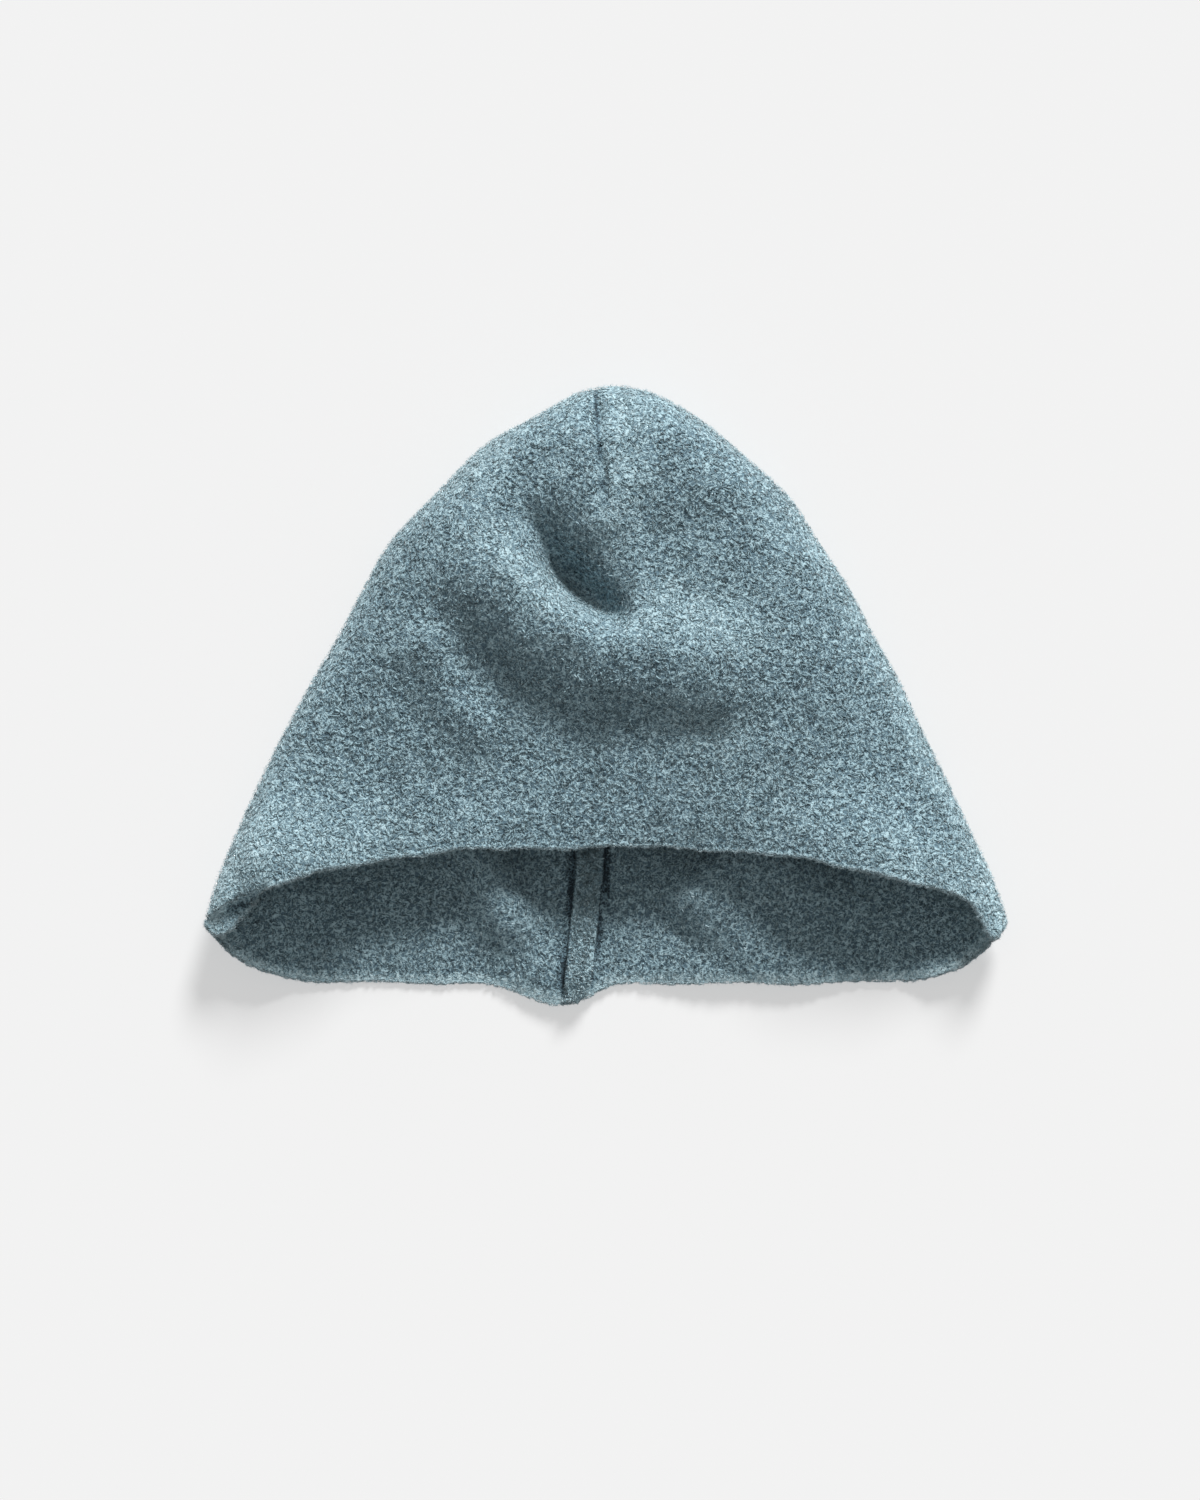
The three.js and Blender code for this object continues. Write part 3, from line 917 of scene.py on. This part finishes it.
def makeWool(name, curl):
    # curl: how much of the yarn's curls is drawn by the surface itself
    w = boiledWool
    material = bpy.data.materials.new(name)
    material.use_nodes = True
    tree = material.node_tree
    place = addNode(tree, "ShaderNodeTexCoord", {}, {}, "Object")
    tone = addNode(tree, "ShaderNodeAttribute", {"attribute_name": "tone"}, {}, "Fac")

    # curls: thin wandering lines, in two layers
    curls = []
    for shift in ((0, 0, 0), w["curlShift"]):
        moved = addNode(tree, "ShaderNodeVectorMath", {"operation": "ADD"}, {0: place, 1: shift})
        wander = addNode(tree, "ShaderNodeTexNoise", {}, {
            "Vector": moved,
            "Scale": 1 / (w["curlSize"] * mm),
            "Detail": 1,
            "Distortion": w["curlWander"],
        })
        off = addNode(tree, "ShaderNodeMath", {"operation": "SUBTRACT"}, {0: wander, 1: 0.5})
        away = addNode(tree, "ShaderNodeMath", {"operation": "ABSOLUTE"}, {0: off})
        curls.append(addNode(tree, "ShaderNodeMapRange", {"interpolation_type": "SMOOTHSTEP"}, {
            "Value": away,
            "From Min": 0,
            "From Max": w["curlWidth"],
            "To Min": 1,
            "To Max": 0,
        }))
    yarn = addNode(tree, "ShaderNodeMath", {"operation": "MAXIMUM"}, {0: curls[0], 1: curls[1]})

    # nubs of yarn, fine fibre and wide patches, and the height that they give together
    nubs, fibre, patches = (
        addNode(tree, "ShaderNodeTexNoise", {}, {
            "Vector": place,
            "Scale": 1 / (w[size] * mm),
            "Detail": detail,
        })
        for size, detail in (("nubSize", 1), ("fibreSize", 1), ("patchSize", 3))
    )
    height = addNode(
        tree, "ShaderNodeMath", {"operation": "MULTIPLY"}, {0: fibre, 1: w["fibreHeight"]}
    )
    for layer, share in ((nubs, w["nubHeight"]), (yarn, w["curlHeight"])):
        height = addNode(
            tree,
            "ShaderNodeMath",
            {"operation": "MULTIPLY_ADD"},
            {0: layer, 1: share * curl, 2: height},
        )
    bump = addNode(tree, "ShaderNodeBump", {}, {
        "Strength": 1,
        "Distance": w["relief"] * mm,
        "Height": height,
    })

    # painted light and shade: high places are paler, and low ones darker
    lowest = w["lowHeight"] + w["curlRaise"] * curl
    lifted = addNode(tree, "ShaderNodeMapRange", {}, {
        "Value": height,
        "From Min": lowest,
        "From Max": lowest + w["heightRange"],
        "To Min": w["lowTone"],
        "To Max": w["highTone"],
    })
    mixed = addNode(tree, "ShaderNodeMath", {"operation": "ADD"}, {0: tone, 1: lifted})
    # the ramp runs from painted shade in the deep and gap colours through the yarn's colour to
    # painted light in the bloom colour
    colour = addNode(tree, "ShaderNodeValToRGB", {}, {"Fac": mixed}, "Color")
    ramp = colour.node.color_ramp
    ramp.elements[0].color = hexToLinear(w["deep"])
    ramp.elements[1].color = hexToLinear(w["bloom"])
    for position, shade in ((w["gapAt"], w["gap"]), (w["yarnAt"], w["yarn"])):
        ramp.elements.new(position).color = hexToLinear(shade)
    patch = addNode(tree, "ShaderNodeMapRange", {}, {
        "Value": patches,
        "From Min": w["patchRange"][0],
        "From Max": w["patchRange"][1],
        "To Min": 1 - w["patchContrast"],
        "To Max": 1 + w["patchContrast"],
    })
    shaded = addNode(
        tree, "ShaderNodeVectorMath", {"operation": "SCALE"}, {"Vector": colour, "Scale": patch}
    )
    setInputs(tree.nodes["Principled BSDF"], {
        "Base Color": shaded,
        "Normal": bump,
        "Roughness": w["roughness"],
        "Specular IOR Level": w["specular"],
        "Subsurface Weight": w["softness"] * (1 - curl),
        "Subsurface Radius": (1, 1, 1),
        "Subsurface Scale": w["lightReach"] * mm,
        "Sheen Weight": w["sheen"],
        "Sheen Roughness": w["sheenRoughness"],
        "Sheen Tint": hexToLinear(w["bloom"]),
    })
    return material


groundWool = makeWool("felted boiled wool", 1)
yarnWool = makeWool("boucle wool yarn", 0.25)
for piece in [ground, fibres, allowance, allowanceLoops, *loops]:
    piece.data.materials.append(groundWool if piece in (ground, allowance) else yarnWool)
    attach(piece, "root")
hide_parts("wool_shell")
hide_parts("back_seam_allowance")
print("materials")

# the floor and the light of the picture
studio = {
    "floor": "#a6a6a6",
    "floorSize": 2,  # metres each way from the middle
    "light": "#ffffff",
    "floorGlow": 0.465,  # painted light: the paper glows by itself, so its shadows stay pale
    "sunEnergy": 4.6,
    "sunWidth": 17,
    "sunHeight": 30,
    "sunTurn": 16,  # degrees to the right of the crown
    "fill": 0.38,
}
shape = bmesh.new()
bmesh.ops.create_grid(shape, x_segments=2, y_segments=2, size=studio["floorSize"])
floorMesh = bpy.data.meshes.new("floor")
shape.to_mesh(floorMesh)
shape.free()
floor = addObject("floor", floorMesh)
paper = bpy.data.materials.new("matte paper floor")
paper.use_nodes = True
setInputs(paper.node_tree.nodes["Principled BSDF"], {
    "Base Color": hexToLinear(studio["floor"]),
    "Roughness": 1,
    "Specular IOR Level": 0,
    "Emission Color": hexToLinear(studio["light"]),
    "Emission Strength": studio["floorGlow"],
})
floorMesh.materials.append(paper)

sunHeight, sunTurn = math.radians(studio["sunHeight"]), math.radians(studio["sunTurn"])
towards = Vector((
    math.cos(sunHeight) * math.sin(sunTurn),
    math.cos(sunHeight) * math.cos(sunTurn),
    math.sin(sunHeight),
))
sun = bpy.data.lights.new("window light", "SUN")
sun.energy = studio["sunEnergy"]
sun.angle = math.radians(studio["sunWidth"])
addObject("window light", sun).rotation_euler = towards.to_track_quat("Z", "Y").to_euler()
world = bpy.data.worlds.new("studio")
world.use_nodes = True
background = world.node_tree.nodes["Background"]
setInputs(background, {"Color": hexToLinear(studio["light"]), "Strength": studio["fill"]})
bpy.context.scene.world = world
print("floor and light")
